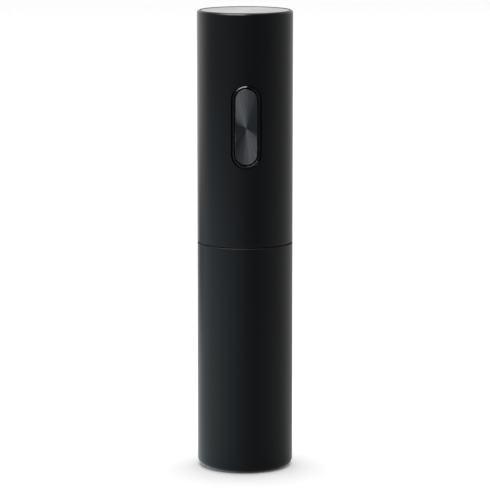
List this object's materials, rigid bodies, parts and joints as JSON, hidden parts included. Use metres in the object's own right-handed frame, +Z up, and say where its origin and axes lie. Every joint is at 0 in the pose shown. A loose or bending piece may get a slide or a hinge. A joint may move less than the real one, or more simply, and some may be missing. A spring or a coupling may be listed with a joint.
{
  "type": "electric wine opener",
  "caption": "Cordless cylindrical wine opener: a push-button gearmotor turns a corkscrew inside a sleeve that slips over the bottle neck and draws the cork.",
  "frame": {"origin": "centre of the round base, on the plane it stands on", "axes": "+Z up along the barrel, -Y is the front with the button, +X is to the right seen from the front"},
  "size_m": [0.0474, 0.0474, 0.229],
  "materials": {
    "shell_black": "fine satin soft-touch coat",
    "guide_black": "moulded satin",
    "frame_grey": "moulded satin",
    "gloss_black": "polished",
    "button_metal": "spun, dark",
    "top_metal": "spun, clear",
    "rocker_black": "moulded",
    "steel": "bright",
    "screw_steel": "zinc plated",
    "auger_steel": "polished",
    "switch_black": "moulded",
    "plunger_red": "moulded",
    "board_green": "solder mask",
    "chip_black": "moulded",
    "socket_steel": "drawn shell",
    "clear_plastic": "clear",
    "cell_wrap": "shrink wrap",
    "nickel": "plain strip",
    "frame_white": "moulded",
    "motor_steel": "zinc plated",
    "motor_plastic": "moulded",
    "contact_brass": "plain",
    "bronze": "sintered",
    "ferrite": "ground",
    "core_steel": "laminated",
    "copper": "enamelled wire",
    "lead_red": "insulation",
    "lead_black": "insulation",
    "acetal": "moulded",
    "gear_steel": "sintered",
    "seat_rubber": "moulded silicone"
  },
  "bodies": {
    "housing": {"upper_shell": "shell_black", "lower_sleeve": "shell_black", "top_plate": "top_metal", "top_screws": "screw_steel", "middle_frame": "frame_grey", "neck_guide": "guide_black", "cork_guide": "guide_black", "seat_ring": "seat_rubber", "button_bezel": "gloss_black", "rocker_pin": "steel", "tact_switches": "switch_black", "control_board": "board_green", "board_chips": "chip_black", "charge_board": "board_green", "usb_shell": "socket_steel", "usb_tongue": "chip_black", "charge_light_pipe": "clear_plastic", "battery_cell_left": "cell_wrap", "battery_cell_right": "cell_wrap", "battery_tabs": "nickel", "battery_frame": "frame_white", "frame_screws": "screw_steel", "motor_can": "motor_steel", "motor_end_cap": "motor_plastic", "motor_terminals": "contact_brass", "motor_brushes": "contact_brass", "motor_magnets": "ferrite", "motor_bushes": "bronze", "motor_screws": "screw_steel", "motor_lead_red": "lead_red", "motor_lead_black": "lead_black", "gearbox_housing": "acetal", "gearbox_lid": "motor_steel", "gearbox_screws": "screw_steel", "output_bearing": "bronze"},
    "button": {"button_plate": "button_metal", "button_rocker": "rocker_black"},
    "plunger_lower": {"switch_plunger_lower": "plunger_red"},
    "plunger_upper": {"switch_plunger_upper": "plunger_red"},
    "rotor": {"motor_shaft": "steel", "armature_core": "core_steel", "armature_windings": "copper", "commutator": "copper", "sun_pinion": "contact_brass"},
    "carrier_one": {"carrier_1": "gear_steel"},
    "carrier_two": {"carrier_2": "gear_steel"},
    "output": {"output_carrier": "gear_steel", "auger_chuck": "rocker_black", "chuck_set_screw": "screw_steel", "corkscrew": "auger_steel"},
    "planet_wheel_1a": {"planet_1a": "acetal"},
    "planet_wheel_1b": {"planet_1b": "acetal"},
    "planet_wheel_1c": {"planet_1c": "acetal"},
    "planet_wheel_2a": {"planet_2a": "acetal"},
    "planet_wheel_2b": {"planet_2b": "acetal"},
    "planet_wheel_2c": {"planet_2c": "acetal"},
    "planet_wheel_3a": {"planet_3a": "gear_steel"},
    "planet_wheel_3b": {"planet_3b": "gear_steel"},
    "planet_wheel_3c": {"planet_3c": "gear_steel"}
  },
  "joints": [
    {"name": "button_rock", "type": "hinge", "parent": "housing", "child": "button", "pos_m": [0, -0.0191, 0.1733], "axis": [1, 0, 0], "range_deg": [-1.4, 1.4], "stiffness_Nm_per_rad": 0.5},
    {"name": "plunger_lower_slide", "type": "slide", "parent": "housing", "child": "plunger_lower", "axis": [0, 1, 0], "range_m": [-0.00025, 0.00025]},
    {"name": "plunger_upper_slide", "type": "slide", "parent": "housing", "child": "plunger_upper", "axis": [0, 1, 0], "range_m": [-0.00025, 0.00025]},
    {"name": "motor_spin", "type": "hinge", "parent": "housing", "child": "rotor", "pos_m": [0, 0, 0.157], "axis": [0, 0, 1], "continuous": true},
    {"name": "carrier_one_spin", "type": "hinge", "parent": "housing", "child": "carrier_one", "pos_m": [0, 0, 0.134], "axis": [0, 0, 1], "continuous": true},
    {"name": "carrier_two_spin", "type": "hinge", "parent": "housing", "child": "carrier_two", "pos_m": [0, 0, 0.1275], "axis": [0, 0, 1], "continuous": true},
    {"name": "corkscrew_spin", "type": "hinge", "parent": "housing", "child": "output", "pos_m": [0, 0, 0.112], "axis": [0, 0, 1], "continuous": true},
    {"name": "planet_1a_spin", "type": "hinge", "parent": "carrier_one", "child": "planet_wheel_1a", "pos_m": [0, 0.00945, 0.1377], "axis": [0, 0, 1], "continuous": true},
    {"name": "planet_1b_spin", "type": "hinge", "parent": "carrier_one", "child": "planet_wheel_1b", "pos_m": [-0.00818, -0.00473, 0.1377], "axis": [0, 0, 1], "continuous": true},
    {"name": "planet_1c_spin", "type": "hinge", "parent": "carrier_one", "child": "planet_wheel_1c", "pos_m": [0.00818, -0.00473, 0.1377], "axis": [0, 0, 1], "continuous": true},
    {"name": "planet_2a_spin", "type": "hinge", "parent": "carrier_two", "child": "planet_wheel_2a", "pos_m": [0, 0.00945, 0.1311], "axis": [0, 0, 1], "continuous": true},
    {"name": "planet_2b_spin", "type": "hinge", "parent": "carrier_two", "child": "planet_wheel_2b", "pos_m": [-0.00818, -0.00473, 0.1311], "axis": [0, 0, 1], "continuous": true},
    {"name": "planet_2c_spin", "type": "hinge", "parent": "carrier_two", "child": "planet_wheel_2c", "pos_m": [0.00818, -0.00473, 0.1311], "axis": [0, 0, 1], "continuous": true},
    {"name": "planet_3a_spin", "type": "hinge", "parent": "output", "child": "planet_wheel_3a", "pos_m": [0, 0.00945, 0.1245], "axis": [0, 0, 1], "continuous": true},
    {"name": "planet_3b_spin", "type": "hinge", "parent": "output", "child": "planet_wheel_3b", "pos_m": [-0.00818, -0.00473, 0.1245], "axis": [0, 0, 1], "continuous": true},
    {"name": "planet_3c_spin", "type": "hinge", "parent": "output", "child": "planet_wheel_3c", "pos_m": [0.00818, -0.00473, 0.1245], "axis": [0, 0, 1], "continuous": true}
  ],
  "couplings": [
    {"joint": "plunger_lower_slide", "follows": "button_rock", "m_per_rad": 0.01},
    {"joint": "plunger_upper_slide", "follows": "button_rock", "m_per_rad": -0.01},
    {"joint": "carrier_one_spin", "follows": "motor_spin", "ratio": 0.22222},
    {"joint": "carrier_two_spin", "follows": "motor_spin", "ratio": 0.049383},
    {"joint": "corkscrew_spin", "follows": "motor_spin", "ratio": 0.010974},
    {"joint": "planet_1a_spin", "follows": "motor_spin", "ratio": -0.62222},
    {"joint": "planet_1b_spin", "follows": "motor_spin", "ratio": -0.62222},
    {"joint": "planet_1c_spin", "follows": "motor_spin", "ratio": -0.62222},
    {"joint": "planet_2a_spin", "follows": "motor_spin", "ratio": -0.13827},
    {"joint": "planet_2b_spin", "follows": "motor_spin", "ratio": -0.13827},
    {"joint": "planet_2c_spin", "follows": "motor_spin", "ratio": -0.13827},
    {"joint": "planet_3a_spin", "follows": "motor_spin", "ratio": -0.030727},
    {"joint": "planet_3b_spin", "follows": "motor_spin", "ratio": -0.030727},
    {"joint": "planet_3c_spin", "follows": "motor_spin", "ratio": -0.030727}
  ]
}
